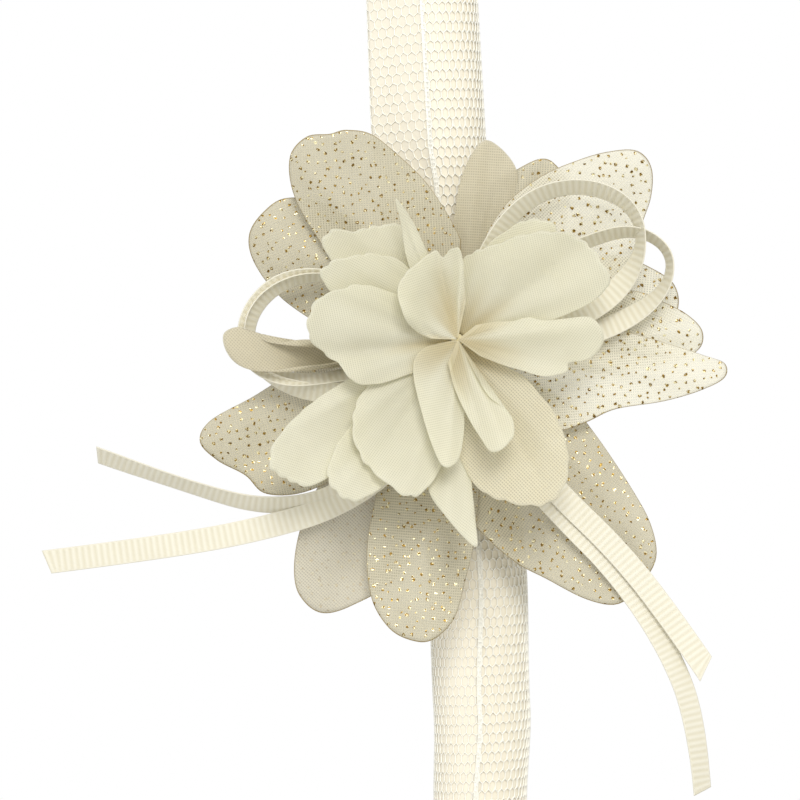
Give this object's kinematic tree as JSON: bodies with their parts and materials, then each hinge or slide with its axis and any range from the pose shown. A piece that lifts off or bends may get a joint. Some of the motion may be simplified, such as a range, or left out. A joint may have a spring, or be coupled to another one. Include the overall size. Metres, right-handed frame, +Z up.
{
  "type": "decorated wedding candle",
  "caption": "Slim wedding candle wrapped in satin and net, with a layered fabric flower and ribbon bow tied to its front.",
  "frame": {"origin": "centre of the candle's base", "axes": "+Z up along the candle, -Y out of the flower's face, +X to the right seen from the front"},
  "size_m": [0.1835, 0.0668, 0.309],
  "materials": {
    "wax": "smooth cream wax, slightly translucent",
    "braided_wick": "braided cotton",
    "tulle": "hexagonal nylon net, cream",
    "satin": "cream satin, soft sheen",
    "tie_wire": "cloth-covered florist's wire",
    "felt": "pressed felt",
    "thread": "cotton thread",
    "glitter_organza": "sheer organza with scattered gold glitter dots",
    "chiffon": "sheer ivory chiffon, heat-cut edge",
    "grosgrain": "narrow ribbed ribbon, cream"
  },
  "bodies": {
    "root": {"backing_disc": "felt", "candle_body": "wax", "centre_stitch": "thread", "chiffon_fold": "chiffon", "chiffon_petal_bottom": "chiffon", "chiffon_petal_heart": "chiffon", "chiffon_petal_high_left": "chiffon", "chiffon_petal_high_left_back": "chiffon", "chiffon_petal_high_right": "chiffon", "chiffon_petal_high_right_back": "chiffon", "chiffon_petal_left": "chiffon", "chiffon_petal_low_left": "chiffon", "chiffon_petal_low_left_inner": "chiffon", "chiffon_petal_low_right": "chiffon", "chiffon_petal_right": "chiffon", "chiffon_point_bottom": "chiffon", "chiffon_point_top": "chiffon", "chiffon_roll": "chiffon", "flower_tie": "tie_wire", "glitter_petal_bottom": "glitter_organza", "glitter_petal_bottom_left": "glitter_organza", "glitter_petal_curled": "glitter_organza", "glitter_petal_high_left": "glitter_organza", "glitter_petal_high_right": "glitter_organza", "glitter_petal_left": "glitter_organza", "glitter_petal_low_left": "glitter_organza", "glitter_petal_low_right": "glitter_organza", "glitter_petal_right": "glitter_organza", "glitter_petal_right_back": "glitter_organza", "glitter_petal_tongue": "glitter_organza", "glitter_petal_top": "glitter_organza", "glitter_petal_top_back": "glitter_organza", "lining_wrap": "satin", "ribbon_loop_left_lower": "grosgrain", "ribbon_loop_left_upper": "grosgrain", "ribbon_loop_right_lower": "grosgrain", "ribbon_loop_right_upper": "grosgrain", "ribbon_tail_left_lower": "grosgrain", "ribbon_tail_left_upper": "grosgrain", "ribbon_tail_right_lower": "grosgrain", "ribbon_tail_right_upper": "grosgrain", "tulle_sleeve": "tulle", "wick": "braided_wick"}
  },
  "joints": []
}
